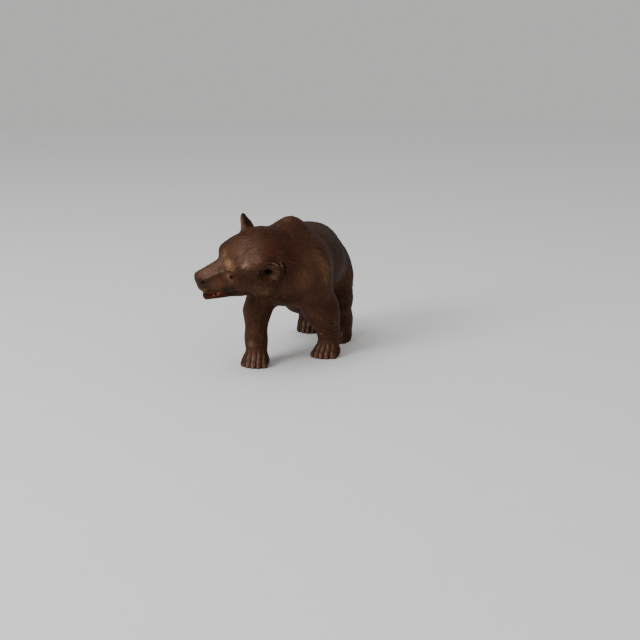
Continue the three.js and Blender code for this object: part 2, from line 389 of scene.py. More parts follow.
            # painted highlight on the toes' crowns, partly wear
            block.mark(Mark.RIM_WEAR_AND_HIGHLIGHT, 0.3 * crown)
            block.mark(Mark.CLAW, self.claws(name, local))


@dataclass
class Face:
    """The face: a flat-topped muzzle, a nose pad with nostrils, and small drilled eyes."""

    head: Place
    eye: Triple = (10.2, 7.5, 0.8)
    eye_way: Triple = (0.42, 0.9, 0.1)
    eye_radius: float = 0.85
    nostril: Triple = (21.8, 3.3, -1.9)
    nostril_way: Triple = (0.6, 0.8, 0.0)
    drill_depth: float = 0.6
    drill_width: float = 0.8
    lid_away: float = 1.5
    lid_width: float = 0.6
    lid_rise: float = 0.15
    pad_rise: float = 0.3
    pad_half: float = 4.4
    pad_back: float = 20.2
    pad_top: float = 0.1
    pad_foot: float = -4.9
    ruff: Path = (
        (-12.2, 11.6, -2.2), (-11.1, 12.6, -4.7), (-9.4, 13.5, -7.0), (-7.5, 13.9, -9.0), (-4.8, 13.9, -9.9),
        (-2.0, 13.0, -9.6),
    )
    ruff_rise: float = 0.15
    ruff_depth: float = 0.35
    bridge: Path = ((21.6, 2.8, -0.1), (16.0, 3.3, 1.9), (12.9, 3.7, 3.1))
    bridge_rise: float = 0.22
    cleft: Path = ((23.6, 0.0, -4.2), (22.2, 0.0, -8.6))
    cleft_depth: float = 0.35

    def beside(self, local: np.ndarray, middle: Sequence[float], outwards: Sequence[float]) -> np.ndarray:
        """How far points are from a spot on the skin, however deep they lie under it."""
        away = local - np.array(middle)
        out = unit(np.array(outwards))
        deep = away @ out
        flat = np.linalg.norm(away - deep[:, None] * out, axis=1)
        return np.where(np.abs(deep) < 2.5, flat, np.inf)

    def pad(self, local: np.ndarray) -> np.ndarray:
        """1 on the nose pad, and 0 beside it."""
        x, y, z = local.T
        pad = smooth_step(self.pad_back - 0.9, self.pad_back + 0.7, x)
        pad *= smooth_step(self.pad_half, self.pad_half - 0.5, np.abs(y))
        pad *= smooth_step(self.pad_top + 0.35, self.pad_top - 0.25, z + 0.1 * (x - self.pad_back))
        return pad * smooth_step(self.pad_foot - 0.4, self.pad_foot + 0.4, z)

    def drill_eye(self, block: Block, local: np.ndarray, side: Side) -> None:
        """Drills an eye, with a soft lid round it."""
        away = self.beside(local, on_side(self.eye, side), on_side(self.eye_way, side))
        lid = bell(away - self.lid_away, self.lid_width)
        block.push(self.lid_rise * lid - self.drill_depth * bell(away, self.drill_width))
        block.mark(Mark.EYE, smooth_step(self.eye_radius + 0.2, self.eye_radius - 0.25, away))

    def drill_nostril(self, block: Block, local: np.ndarray, side: Side) -> np.ndarray:
        """Drills a nostril, and tells how far each point is into it."""
        away = self.beside(local, on_side(self.nostril, side), on_side(self.nostril_way, side))
        dent = bell(away, self.drill_width)
        block.push(-self.drill_depth * dent)
        block.mark(Mark.CUT, dent)
        return dent

    def edge(self, block: Block, local: np.ndarray, side: Side) -> None:
        """Sharpens the edge along the muzzle's top with a painted highlight on it, and cuts the ruff free
        behind the cheek with a painted shadow below it.
        """
        ridge = bell(from_path(local, [on_side(p, side) for p in self.bridge]), 0.75)
        block.push(self.bridge_rise * ridge)
        # painted highlight along the muzzle's top edge
        block.mark(Mark.RIM_WEAR_AND_HIGHLIGHT, 0.15 * ridge)
        path = [on_side(p, side) for p in self.ruff]
        behind = [(x - 1.0, y, z - 1.4) for x, y, z in path]
        shade = bell(from_path(local, behind), 1.1)
        block.push(self.ruff_rise * bell(from_path(local, path), 1.2) - self.ruff_depth * shade)
        # painted shadow cast by the ruff's edge on the neck below it
        block.mark(Mark.CUT, 0.3 * shade)

    def carve(self, block: Block) -> None:
        """Raises the nose pad, drills the eyes and the nostrils, and cuts the muzzle's edges and the ruff."""
        local = self.head.local(block.points)
        pad = self.pad(local)
        block.push(self.pad_rise * pad)
        for side in Side:
            self.drill_eye(block, local, side)
            pad *= 1.0 - 0.9 * self.drill_nostril(block, local, side)
            self.edge(block, local, side)
        block.mark(Mark.NOSE, pad)
        cleft = bell(from_path(local, self.cleft), 0.45)
        block.push(-self.cleft_depth * cleft)
        block.mark(Mark.CUT, 0.8 * cleft)


@dataclass
class Mouth:
    """The open mouth: painted red inside, with full lips and a few small pale teeth."""

    head: Place
    red_front: float = 19.2
    tooth_radius: float = 0.3
    teeth_along: tuple[tuple[float, float], ...] = ((16.6, 0.45), (14.6, 0.7), (13.7, 0.6))
    hollow_depth: float = 0.55
    lower_radius: float = 0.26
    upper_radius: float = 0.72
    lower_lip: Path = (
        (21.1, 0.0, -13.6), (20.5, 1.1, -13.5), (19.3, 1.9, -13.5), (17.4, 2.3, -13.2), (15.2, 2.8, -12.8),
        (13.2, 3.3, -12.3),
    )
    upper_lip: Path = (
        (22.4, 0.0, -8.1), (22.0, 1.8, -8.3), (21.2, 3.1, -8.8), (18.0, 3.8, -9.0), (14.5, 4.6, -8.9),
    )
    corner: Path = ((13.9, 3.7, -11.2), (10.5, 5.2, -11.1), (7.0, 6.6, -10.4))
    corner_width: float = 0.65
    corner_depth: float = 0.55

    def sides(self, path: Sequence[Sequence[float]]) -> list[list[Triple]]:
        """A lip's path on the bear's right and on its left."""
        return [[on_side(point, side) for point in path] for side in Side]

    def jaw_top(self, x: np.ndarray | float) -> np.ndarray | float:
        """How high the jaw's upper face is."""
        return np.interp(x, (13.0, 15.0, 19.0, 21.0), (-12.0, -12.4, -13.1, -13.5))

    def half_width(self, x: np.ndarray | float) -> np.ndarray | float:
        """Half the width of the jaw's upper face."""
        return np.interp(x, (12.0, 15.0, 17.0, 19.0, 20.3, 21.2), (3.2, 2.7, 2.3, 1.9, 1.3, 0.3))

    def teeth(self) -> list[tuple[Triple, Triple]]:
        """Each tooth's root and tip, in the head's measure."""
        found = []
        for side in Side:
            for x, height in self.teeth_along:
                y = side.value * (self.half_width(x) - 0.2)
                foot = float(self.jaw_top(x))
                found.append(((x, y, foot - 0.5), (x, y, foot + height)))
        return found

    def add_clay(self, mesh: bmesh.types.BMesh) -> None:
        """Adds the lips and the teeth."""
        for path, radius in ((self.upper_lip, self.upper_radius), (self.lower_lip, self.lower_radius)):
            for points in self.sides(path):
                for a, b in zip(points[:-1], points[1:]):
                    limb(mesh, self.head.point(a), radius, self.head.point(b), radius)
        for root, tip in self.teeth():
            radius = self.tooth_radius
            limb(mesh, self.head.point(root), radius, self.head.point(tip), 0.7 * radius)

    def jaw(self, local: np.ndarray, up: np.ndarray) -> np.ndarray:
        """1 on the jaw's upper face and over its lip, and 0 beside them."""
        x, _, z = local.T
        over = z - self.jaw_top(x)
        jaw = smooth_step(-0.3, 0.1, up) * smooth_step(-1.2, -0.7, over) * smooth_step(1.6, 1.1, over)
        jaw *= smooth_step(11.0, 12.5, x)
        return jaw * smooth_step(self.red_front + 0.5, self.red_front - 0.3, x)

    def roof(self, local: np.ndarray, up: np.ndarray) -> np.ndarray:
        """1 on the mouth's roof, and 0 beside it."""
        x, y, z = local.T
        roof = smooth_step(-0.25, -0.55, up) * smooth_step(-11.4, -10.8, z) * smooth_step(-7.8, -8.4, z)
        roof *= smooth_step(10.5, 12.0, x) * smooth_step(20.8, 20.0, x)
        return roof * smooth_step(3.2, 2.7, np.abs(y))

    def throat(self, local: np.ndarray) -> np.ndarray:
        """1 at the mouth's inner end, and 0 beside it."""
        x, y, z = local.T
        throat = smooth_step(14.4, 13.4, x) * smooth_step(10.5, 11.5, x)
        throat *= smooth_step(-13.2, -12.4, z) * smooth_step(-9.2, -9.8, z)
        return throat * smooth_step(3.4, 2.8, np.abs(y))

    def carve(self, block: Block) -> None:
        """Hollows the jaw behind its lip, and marks the painted inside, the lips and the teeth."""
        local = self.head.local(block.points)
        aside = np.abs(local[:, 1]) - self.half_width(local[:, 0])
        crown = self.head.direction((0.0, 0.0, 1.0))
        up = block.normals() @ crown
        jaw = self.jaw(local, up)
        block.push(self.hollow_depth * jaw * smooth_step(-0.2, -0.7, aside), -crown)
        painted = (jaw * smooth_step(1.0, 0.6, aside), self.roof(local, up), self.throat(local))
        block.mark(Mark.MOUTH, np.max(painted, axis=0))
        # painted highlight along the back of the lower lip
        for points in self.sides(self.lower_lip):
            block.mark(Mark.RIM_WEAR_AND_HIGHLIGHT, 0.6 * bell(from_path(local, points[3:]), 0.35))
        # painted shade along the mouth's corner, under the cheek
        for points in self.sides(self.corner):
            block.score(local, points, self.corner_width, self.corner_depth)
        for root, tip in self.teeth():
            a, b = np.array(root), np.array(tip)
            away = from_path(local, (a + 0.35 * (b - a), b))
            block.mark(Mark.TOOTH, smooth_step(self.tooth_radius + 0.25, self.tooth_radius, away))


@dataclass
class Ears:
    """The ears: the right one stands up, the left one is laid out to the side with a curled rim."""

    head: Place
    hole: Triple = (-6.4, 11.8, 2.9)
    hole_reach: Triple = (1.5, 2.4, 1.05)
    hole_way: Triple = (-0.35, -0.9, -0.2)
    hole_depth: float = 2.0
    cup: Triple = (-8.3, 11.9, 4.2)
    cup_reach: float = 3.0
    lobe: Triple = (-8.2, 14.4, -0.6)
    lobe_width: float = 0.8
    parting_width: float = 0.5
    parting_depth: float = 0.5
    rim: Path = (
        (-4.4, 10.7, 8.7), (-6.4, 11.1, 8.9), (-8.6, 11.5, 8.4), (-10.4, 11.9, 7.1), (-11.6, 12.7, 5.2),
        (-11.6, 13.8, 3.0), (-10.6, 14.6, 0.8), (-9.2, 14.6, -1.4),
    )
    rim_radius: float = 0.6
    tuft: Path = ((-13.2, 10.0, 5.4), (-13.8, 10.4, 3.2), (-13.6, 11.2, 0.6))
    partings: tuple[Path, ...] = (
        ((-12.3, 10.4, 6.2), (-12.8, 11.2, 3.6), (-12.3, 12.4, 1.0)),
        ((-15.2, 9.2, 4.6), (-15.8, 9.6, 1.8), (-15.4, 10.8, -0.8)),
    )

    def add_clay(self, mesh: bmesh.types.BMesh) -> None:
        """Adds the curled rim of the left ear and the tuft behind it."""
        for path, radius in ((self.rim[:5], self.rim_radius), (self.tuft, 0.7 * self.rim_radius)):
            last = len(path) - 1
            for i in range(last):
                thin = [radius * (0.6 + 0.4 * math.sin(math.pi * j / last)) for j in (i, i + 1)]
                limb(mesh, self.head.point(path[i]), thin[0], self.head.point(path[i + 1]), thin[1])

    def carve(self, block: Block) -> None:
        """Deepens the hollow at the root of the left ear with painted shade in it, parts the tuft behind it,
        and paints highlights on the rim and the tuft.
        """
        local = self.head.local(block.points)
        away = np.linalg.norm((local - self.hole) / self.hole_reach, axis=1)
        block.push(self.hole_depth * bell(away, 1.0), self.head.direction(unit(np.array(self.hole_way))))
        # painted shade: black in the hole at the ear's root, darker over its cup and lobe
        block.mark(Mark.CUT, 1.7 * bell(away, 0.9))
        cup = np.linalg.norm(local - self.cup, axis=1) / self.cup_reach
        block.mark(Mark.CUT, 0.45 * smooth_step(1.2, 0.6, cup))
        spot = np.linalg.norm(local - self.lobe, axis=1)
        block.push(-self.parting_depth * bell(spot, self.lobe_width))
        block.mark(Mark.CUT, bell(spot, 0.7))
        for path in self.partings:
            block.score(local, path, self.parting_width, self.parting_depth)
        # painted highlights: the crescent of the left ear's rim and the tuft behind it
        for path, light in ((self.rim[2:4], 0.8), (self.rim[4:6], 0.1), (self.tuft[:2], 0.5)):
            block.mark(Mark.RIM_WEAR_AND_HIGHLIGHT, light * bell(from_path(local, path), self.parting_width))


@dataclass(frozen=True)
class Guide:
    """A place where the way that the hair lies is known."""

    middle: Triple
    way: Triple
    reach: float


@dataclass(frozen=True)
class Stroke:
    """One size of gouge cut that the coat is combed with."""

    spacing: float
    length: float
    width: float
    depth: float
    seed: int


@dataclass
class Coat:
    """The combed coat: which way the hair lies, and the gouge cuts that draw it."""

    head: Place
    paws: dict[str, Place]
    middle_x: float = 6.18
    locks: Stroke = Stroke(spacing=2.5, length=8.5, width=2.2, depth=0.42, seed=5)
    strands: Stroke = Stroke(spacing=1.15, length=5.4, width=1.05, depth=0.26, seed=8)
    wander: float = 0.16
    bend: float = 0.02
    skull: Triple = (2.0, 0.0, 2.0)
    nape: Triple = (-13.0, 3.0, 0.0)
    nape_reach: float = 13.0
    far_ear: Triple = (-7.5, -13.5, 14.0)
    trunk_lie: Lie = (
        ((4.0, -16.0, 70.0), (0.1, 1.0, 0.0), 12.0),
        ((5.0, 8.0, 63.0), (0.15, 1.0, -0.05), 14.0),
        ((5.0, 28.0, 60.0), (0.1, 1.0, -0.3), 13.0),
        ((4.0, 47.0, 50.0), (0.0, 0.35, -1.0), 11.0),
        ((4.0, 54.0, 38.0), (0.0, 0.0, -1.0), 10.0),
        ((15.0, -14.0, 50.0), (0.1, 0.8, -0.6), 12.0),
        ((16.0, 8.0, 44.0), (0.0, 0.85, -0.5), 12.0),
        ((13.0, 28.0, 46.0), (0.0, 0.7, -0.7), 12.0),
        ((6.0, 8.0, 24.0), (-0.2, 1.0, 0.1), 12.0),
        ((5.0, -32.0, 38.0), (0.1, -0.1, -1.0), 10.0),
        ((14.0, -18.0, 36.0), (0.0, 0.35, -1.0), 10.0),
        ((13.0, 36.0, 32.0), (0.0, 0.3, -1.0), 11.0),
        ((6.0, -34.0, 62.0), (0.25, 1.0, -0.1), 10.0),
    )
    leg_lie: tuple[tuple[float, Triple, float], ...] = (
        (18.0, (0.0, 0.12, -1.0), 8.0), (3.0, (0.0, -1.0, -0.6), 5.0),
    )
    elbow_lie: Guide = Guide((16.0, -9.0, 16.0), (0.95, -0.1, -0.45), 8.0)
    head_lie: Lie = (
        ((21.0, 0.0, 1.0), (-1.0, 0.0, 0.2), 6.0),
        ((17.0, 5.0, -4.0), (-1.0, 0.1, -0.25), 5.0),
        ((15.0, 0.0, -15.0), (-1.0, 0.0, 0.0), 5.0),
        ((10.0, 6.0, 7.0), (-0.8, -0.15, 0.55), 4.5),
        ((7.0, 3.0, 13.5), (-0.75, -0.3, 0.6), 6.0),
        ((-4.0, 0.0, 16.5), (-1.0, 0.0, 0.1), 7.0),
        ((4.0, 8.5, 10.3), (-0.8, -0.25, 0.55), 6.0),
        ((-4.0, 10.0, 9.5), (-0.95, 0.1, 0.2), 4.0),
        ((3.0, 10.0, -4.0), (-0.8, 0.25, -0.6), 6.0),
        ((-7.0, 13.0, -7.0), (-0.7, 0.3, -0.8), 7.0),
        ((0.0, 4.0, -16.0), (-1.0, 0.2, -0.3), 7.0),
        ((-15.0, 9.0, 6.0), (-1.0, 0.2, -0.25), 8.0),
    )

    def guides(self) -> list[Guide]:
        """The lie of the hair over the trunk, the legs and the head, on both sides."""
        found = []
        for (x, y, z), way, reach in self.trunk_lie:
            for side in Side:
                middle = (self.middle_x + side.value * x, y, z)
                found.append(Guide(middle, (side.value * way[0], *way[1:]), reach))
        for place in self.paws.values():
            for height, way, reach in self.leg_lie:
                middle = place.point((0.0, 0.0, height))
                found.append(Guide(tuple(middle), tuple(place.direction(way)), reach))
        found.append(self.elbow_lie)
        for spot, way, reach in self.head_lie:
            for side in (Side.LEFT,) if spot[1] == 0.0 else Side:
                middle = self.head.point(on_side(spot, side))
                turned = self.head.direction(on_side(way, side))
                found.append(Guide(tuple(middle), tuple(turned), reach))
        return found

    def ways(self, points: np.ndarray, normals: np.ndarray) -> np.ndarray:
        """The way that the hair lies at each point, along the skin."""
        total = np.zeros_like(points)
        for guide in self.guides():
            away = np.linalg.norm(points - np.array(guide.middle), axis=1) / guide.reach
            weight = np.exp(-(away**2)) + 0.02 * np.exp(-away)
            total += weight[:, None] * unit(np.array(guide.way))
        along = total - (total * normals).sum(axis=1, keepdims=True) * normals
        return unit(along)

    def cells(self, points: np.ndarray, spacing: float) -> np.ndarray:
        """A whole number for the small cube that holds each point."""
        x, y, z = np.floor(points / spacing).astype(np.int64).T + CUBES // 4
        return (x * CUBES + y) * CUBES + z

    def comb(self, block: Block, stroke: Stroke, strength: np.ndarray, ways: np.ndarray) -> np.ndarray:
        """Cuts one layer of overlapping gouge strokes along the hair.

        Args:
            block: The wood that is cut.
            stroke: The size and the spacing of the cuts.
            strength: How much of the full depth is cut at each point.
            ways: The way that the hair lies at each point.

        Returns:
            How deep the cut is at each point, as a share of the full depth.
        """
        random = np.random.default_rng(stroke.seed)
        normals = block.normals()
        order = random.permutation(block.count)
        known, first = np.unique(self.cells(block.points[order], stroke.spacing), return_index=True)
        chosen = order[first]
        turn = random.normal(0.0, self.wander, len(chosen))[:, None]
        across = np.cross(normals[chosen], ways[chosen])
        way = unit(ways[chosen] + turn * across)
        across = np.cross(normals[chosen], way)
        scale = random.uniform(SHORTEST, LONGEST, len(chosen))
        bend = random.normal(0.0, self.bend, len(chosen))
        own = self.cells(block.points, stroke.spacing)
        reach = int(math.ceil(0.5 * LONGEST * stroke.length / stroke.spacing))
        deepest = np.zeros(block.count)
        steps = range(-reach, reach + 1)
        for dx, dy, dz in ((a, b, c) for a in steps for b in steps for c in steps):
            wanted = own + (dx * CUBES + dy) * CUBES + dz
            slot = np.minimum(np.searchsorted(known, wanted), len(known) - 1)
            here = np.flatnonzero(known[slot] == wanted)
            which = slot[here]
            offset = block.points[here] - block.points[chosen[which]]
            length = 0.5 * stroke.length * scale[which]
            u = (offset * way[which]).sum(axis=1) / length
            side = (offset * across[which]).sum(axis=1) + bend[which] * (u * length) ** 2
            w = side / (0.5 * stroke.width * np.sqrt(scale[which]))
            facing = (normals[here] * normals[chosen[which]]).sum(axis=1) > 0.35
            taper = np.clip(1.0 - u * u, 0.0, 1.0) * (0.8 - 0.35 * u)
            groove = np.where(facing, np.clip(1.0 - w * w, 0.0, 1.0) * taper, 0.0)
            deepest[here] = np.maximum(deepest[here], groove * scale[which])
        block.push(-stroke.depth * strength * deepest, normals)
        return deepest * strength

    def strengths(self, block: Block) -> tuple[np.ndarray, np.ndarray]:
        """How strongly the locks and the strands are cut at each point."""
        z = block.points[:, 2]
        local = self.head.local(block.points)
        face = smooth_step(6.0, 12.0, local[:, 0]) * smooth_step(24.0, 18.0, np.linalg.norm(local, axis=1))
        head = smooth_step(19.0, 14.0, np.linalg.norm(local - self.skull, axis=1))
        paw = smooth_step(11.0, 7.5, z)
        leg = smooth_step(27.0, 18.0, z)
        neck = bell(np.linalg.norm(local - self.nape, axis=1), self.nape_reach)
        ear = smooth_step(4.6, 3.6, np.linalg.norm(local - self.far_ear, axis=1) / 1.6)
        bare = np.max((paw, face, ear), axis=0)
        locks = (0.4 + 0.3 * neck) * (1.0 - 0.75 * leg) * (1.0 - 0.7 * head) * (1.0 - bare)
        strands = (0.65 - 0.25 * leg + 0.3 * neck) * (1.0 + 0.7 * head) * (1.0 - 0.8 * bare)
        return locks, strands

    def carve(self, block: Block) -> None:
        """Combs the coat and marks its cuts and the way across its hair."""
        normals = block.normals()
        ways = self.ways(block.points, normals)
        locks, strands = self.strengths(block)
        cut = self.comb(block, self.locks, locks, ways)
        cut = np.maximum(cut, 0.8 * self.comb(block, self.strands, strands, ways))
        # the cut mark paints shade into the gouge cuts, partly dark stain
        block.mark(Mark.CUT, 0.5 * cut)
        block.mark(Mark.ACROSS, np.cross(normals, ways))
        block.mark(Mark.ALONG, ways)


@dataclass
class Carving:
    """The whole figure: one piece of wood that takes the place of its plain solid."""

    pose: Pose = field(default_factory=Pose)
    grain: float = 0.3
    most_triangles: int = 194000
    soft_rounds: int = 62
    medium_rounds: int = 24
    fine_rounds: int = 7
    relief_rounds: int = 12
    relief_height: float = 0.12
    crisp: tuple[tuple[Triple, float], ...] = (
        ((19.0, 0.0, -6.0), 11.5), ((-7.5, 12.4, 2.6), 8.0), ((-9.0, -13.0, 13.0), 9.0),
    )
    swells: tuple[tuple[Triple, float, float], ...] = (
        ((-12.2, -27.5, 14.5), 6.0, 1.1), ((-12.5, -25.0, 31.0), 5.5, -0.6), ((26.2, -5.5, 17.0), 8.0, 2.0),
    )

    def __post_init__(self) -> None:
        """Finds the places of the head and the paws."""
        head = self.pose.head()
        soles = [m for m in frame["record"]["mounts"] if m["name"].startswith("sole")]
        places = {m["name"]: self.pose.paw(m) for m in soles}
        self.paws = Paws(places)
        self.face = Face(head)
        self.mouth = Mouth(head)
        self.ears = Ears(head)
        self.coat = Coat(head, places)
        self.head = head

    def rough_out(self) -> bpy.types.Object:
        """The solid with the clay of its small forms on it, as one even skin of small quads."""
        shape = bmesh.new()
        shape.from_mesh(frame["nodes"][SOLID].data)
        bmesh.ops.remove_doubles(shape, verts=shape.verts, dist=0.5e-5)
        for part in (self.paws, self.mouth, self.ears):
            part.add_clay(shape)
        mesh = bpy.data.meshes.new("bear")
        shape.to_mesh(mesh)
        shape.free()
        bear = bpy.data.objects.new("bear", mesh)
        bpy.context.scene.collection.objects.link(bear)
        self.shaped(bear, "REMESH", mode="VOXEL", voxel_size=self.grain * MM, use_smooth_shade=True)
        return bear

    def shaped(self, piece: bpy.types.Object, kind: str, **settings: object) -> None:
        """Puts a modifier on a piece and keeps its result as the piece's mesh."""
        modifier = piece.modifiers.new(kind.title(), kind)
        for name, value in settings.items():
            setattr(modifier, name, value)
        graph = bpy.context.evaluated_depsgraph_get()
        made = bpy.data.meshes.new_from_object(piece.evaluated_get(graph), depsgraph=graph)
        piece.modifiers.clear()
        old = piece.data
        piece.data = made
        bpy.data.meshes.remove(old)

    def detail(self, block: Block) -> np.ndarray:
        """Where small forms are kept crisp: 1 on the toes, the mouth and the ears, 0 on the coat."""
        local = self.head.local(block.points)
        keep = smooth_step(11.0, 8.0, block.points[:, 2])
        for middle, reach in self.crisp:
            away = np.linalg.norm(local - middle, axis=1)
            keep = np.maximum(keep, smooth_step(reach, 0.65 * reach, away))
        return keep

    def soften(self, block: Block) -> None:
        """Takes the facets off the solid, least where its forms are small."""
        keep = self.detail(block)[:, None]
        ground = smooth_step(0.5, 0.25, block.points[:, 2])
        soft = block.softened(self.soft_rounds)
        medium = block.softened(self.medium_rounds)
        fine = block.softened(self.fine_rounds)
        low = np.clip(2.0 * keep, 0.0, 1.0)
        high = np.clip(2.0 * keep - 1.0, 0.0, 1.0)
        block.points = soft + low * (medium - soft) + high * (fine - medium)
        self.seat(block, ground)

    def seat(self, block: Block, ground: np.ndarray) -> None:
        """Keeps the soles flat on the ground."""
        block.points[:, 2] = np.maximum(block.points[:, 2] * (1.0 - ground), 0.0)

    def mark_relief(self, block: Block) -> None:
        """Marks how far each point stands above its surroundings, from -1 to 1."""
        normals = block.normals()
        around = block.blurred(block.points, self.relief_rounds)
        over = ((block.points - around) * normals).sum(axis=1)
        block.marks[Mark.RAISED] = np.clip(over / self.relief_height, -1.0, 1.0)

    def build(self) -> bpy.types.Object:
        """Carves the figure.

        Returns:
            The finished piece, without its finish.
        """
        bear = self.rough_out()
        block = Block(bear.data)
        log.info("rough figure: %d points", block.count)
        ground = smooth_step(0.5, 0.25, block.points[:, 2])
        self.soften(block)
        for middle, reach, amount in self.swells:
            block.push(amount * bell(np.linalg.norm(block.points - middle, axis=1), reach))
        for part in (self.face, self.mouth, self.ears, self.paws):
            part.carve(block)
        self.coat.carve(block)
        self.seat(block, ground)
        self.mark_relief(block)
        block.write()
        triangles = 2 * len(block.quads)
        self.shaped(bear, "DECIMATE", ratio=self.most_triangles / triangles, use_collapse_triangulate=True)
        bear.data.shade_smooth()
        log.info("carved figure: %d triangles", len(bear.data.polygons))
        return bear


class Socket:
    """A shader socket that can stand in a Python expression."""

    def __init__(self, graph: "Graph", socket: bpy.types.NodeSocket) -> None:
        """Wraps an output socket of a graph."""
        self.graph = graph
        self.socket = socket

    def combined(self, operation: str, *values: object) -> "Socket":
        """This operation on these values."""
        node = self.graph.node("ShaderNodeMath", {"operation": operation}, dict(enumerate(values)))
        return Socket(self.graph, node.outputs[0])

    def __add__(self, other: object) -> "Socket":
        """The sum."""
        return self.combined("ADD", self, other)

    def __radd__(self, other: object) -> "Socket":
        """The sum, with a number first."""
        return self.combined("ADD", other, self)

    def __sub__(self, other: object) -> "Socket":
        """The difference."""
        return self.combined("SUBTRACT", self, other)

    def __rsub__(self, other: object) -> "Socket":
        """The difference from a number."""
        return self.combined("SUBTRACT", other, self)

    def __mul__(self, other: object) -> "Socket":
        """The product."""
        return self.combined("MULTIPLY", self, other)

    def __rmul__(self, other: object) -> "Socket":
        """The product, with a number first."""
        return self.combined("MULTIPLY", other, self)

    def ramp(self, low: float, high: float) -> "Socket":
        """Rises softly from 0 at low to 1 at high."""
        settings = {"interpolation_type": "SMOOTHSTEP"}
        node = self.graph.node("ShaderNodeMapRange", settings, {0: self, 1: low, 2: high, 3: 0.0, 4: 1.0})
        return Socket(self.graph, node.outputs[0])


class Graph:
    """The node tree of one material."""

    def __init__(self, name: str) -> None:
        """Starts a material with only its output."""
        self.material = bpy.data.materials.new(name)
        self.material.use_nodes = True
        self.tree = self.material.node_tree
        self.tree.nodes.clear()

    def node(self, kind: str, settings: dict | None = None, sockets: dict | None = None) -> bpy.types.Node:
        """Makes a node.

        Args:
            kind: The node's type.
            settings: Its own settings, set first.
            sockets: The value or the link of each input, by name or number.

        Returns:
            The node.
        """
        made = self.tree.nodes.new(kind)
        for name, value in (settings or {}).items():
            setattr(made, name, value)
        for key, value in (sockets or {}).items():
            if isinstance(value, Socket):
                self.tree.links.new(value.socket, made.inputs[key])
            else:
                made.inputs[key].default_value = value
        return made

    def output(self, node: bpy.types.Node, key: str | int = 0) -> Socket:
        """An output of a node, ready for an expression."""
        return Socket(self, node.outputs[key])

    def mark(self, kind: Mark) -> Socket:
        """What the carver marked: a number, or a vector for the ways along and across the hair."""
        node = self.node("ShaderNodeAttribute", {"attribute_name": kind.value})
        return self.output(node, "Vector" if kind in (Mark.ACROSS, Mark.ALONG) else "Fac")

    def noise(self, where: Socket, scale: float, detail: float = 3.0, rough: float = 0.5) -> Socket:
        """Soft noise, with its scale in steps per metre."""
        sockets = {"Vector": where, "Scale": scale, "Detail": detail, "Roughness": rough}
        return self.output(self.node("ShaderNodeTexNoise", None, sockets), 0)

    def vector(self, operation: str, *values: object) -> bpy.types.Node:
        """A Vector Math node of this operation on these values."""
        return self.node("ShaderNodeVectorMath", {"operation": operation}, dict(enumerate(values)))

    def blend(self, mask: object, below: object, above: Triple) -> Socket:
        """Lays a colour over another by a mask."""
        sockets = {0: mask, 6: below, 7: (*above, 1.0)}
        return self.output(self.node("ShaderNodeMix", {"data_type": "RGBA"}, sockets), 2)

    def finished(self, looks: dict) -> bpy.types.Material:
        """The material, with its shader's inputs set or linked."""
        shader = self.node("ShaderNodeBsdfPrincipled", None, looks)
        self.node("ShaderNodeOutputMaterial", None, {"Surface": self.output(shader)})
        return self.material


@dataclass(frozen=True)
class Tint:
    """A place painted lighter, darker or redder: painted shade, sheen and highlights in many places, stain
    and wear in the rest.
    """

    middle: Triple
    reach: float
    colour: Triple
    strength: float
    broken: float = 0.0


